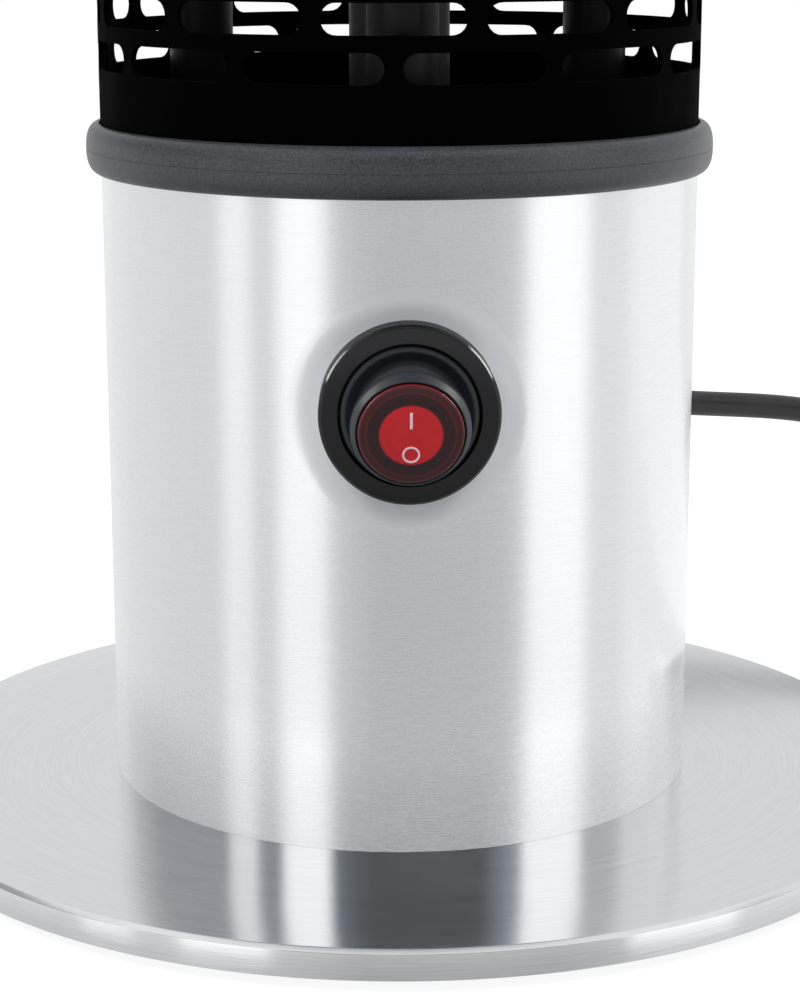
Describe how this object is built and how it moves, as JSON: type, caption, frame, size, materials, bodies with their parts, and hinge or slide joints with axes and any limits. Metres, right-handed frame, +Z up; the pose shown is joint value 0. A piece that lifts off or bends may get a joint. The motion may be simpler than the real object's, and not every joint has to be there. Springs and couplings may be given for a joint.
{
  "type": "infrared heater",
  "caption": "Round pillar heater: brushed housing with a red rocker switch, slotted radiator cage and lid on a flat disc base, with a wound rubber lead and plug.",
  "frame": {"origin": "on the floor, under the middle of the round base", "axes": "+Z up along the pillar, -Y out of the front towards the rocker switch, +X to the right seen from the front"},
  "size_m": [0.4444, 0.3785, 0.4607],
  "materials": {
    "brushed_base": "finely brushed",
    "brushed_housing": "finely brushed, satin",
    "raw_steel": "bare, dull",
    "zinc_steel": "zinc plated",
    "bright_nut": "polished",
    "trim_grey": "fine grained, matte",
    "cage_black": "flocked, dead matte black",
    "element_black": "dull heat-proof black",
    "ceramic_grey": "unglazed",
    "bezel_black": "glossy",
    "switch_black": "satin",
    "boot_rubber": "matte",
    "lens_red": "clear red, glossy",
    "foot_rubber": "matte",
    "cord_rubber": "matte, smooth",
    "plug_black": "satin",
    "pin_metal": "nickel plated",
    "wire_sleeve": "satin sleeve"
  },
  "bodies": {
    "heater": {"base_cover": "brushed_base", "base_weight": "raw_steel", "foot_1": "foot_rubber", "foot_2": "foot_rubber", "foot_3": "foot_rubber", "foot_4": "foot_rubber", "base_bolt_1": "zinc_steel", "base_bolt_2": "zinc_steel", "base_bolt_3": "zinc_steel", "housing_floor": "zinc_steel", "housing": "brushed_housing", "lower_trim_ring": "trim_grey", "upper_trim_ring": "trim_grey", "deck": "cage_black", "grille_front": "cage_black", "grille_rear": "cage_black", "grille_seam_left": "cage_black", "grille_seam_right": "cage_black", "post_1": "cage_black", "post_2": "cage_black", "post_3": "cage_black", "tie_rod_1": "zinc_steel", "tie_rod_2": "zinc_steel", "tie_rod_3": "zinc_steel", "top_plate": "cage_black", "lower_element_holder": "ceramic_grey", "upper_element_holder": "ceramic_grey", "heating_tube": "element_black", "heating_core": "ceramic_grey", "thermal_cutout": "zinc_steel", "top_lid": "brushed_housing", "lid_stud": "zinc_steel", "lid_nut": "bright_nut", "switch_bezel": "bezel_black", "switch_body": "switch_black", "switch_boot": "boot_rubber", "switch_nut": "switch_black", "rocker_pin": "zinc_steel", "chassis_bracket": "zinc_steel", "terminal_block": "ceramic_grey", "tilt_case": "zinc_steel", "tilt_pin": "zinc_steel", "tilt_micro_switch": "switch_black", "wire_live": "wire_sleeve", "wire_switched": "wire_sleeve", "wire_neutral": "wire_sleeve", "gland_body": "switch_black", "gland_nut": "switch_black", "strain_relief": "cord_rubber", "supply_tail": "cord_rubber", "cord": "cord_rubber", "cord_coil": "cord_rubber", "plug_relief": "cord_rubber", "plug_body": "plug_black", "plug_pin_1": "pin_metal", "plug_pin_2": "pin_metal"},
    "rocker": {"rocker": "boot_rubber", "rocker_lens": "lens_red"},
    "pendulum": {"tilt_pendulum": "raw_steel"}
  },
  "joints": [
    {"name": "rocker_press", "type": "hinge", "parent": "heater", "child": "rocker", "pos_m": [0, -0.0824, 0.1255], "axis": [-1, 0, 0], "range_deg": [0, 24]},
    {"name": "pendulum_swing", "type": "hinge", "parent": "heater", "child": "pendulum", "pos_m": [-0.042, 0, 0.0471], "axis": [1, 0, 0], "range_deg": [-10, 10]}
  ]
}
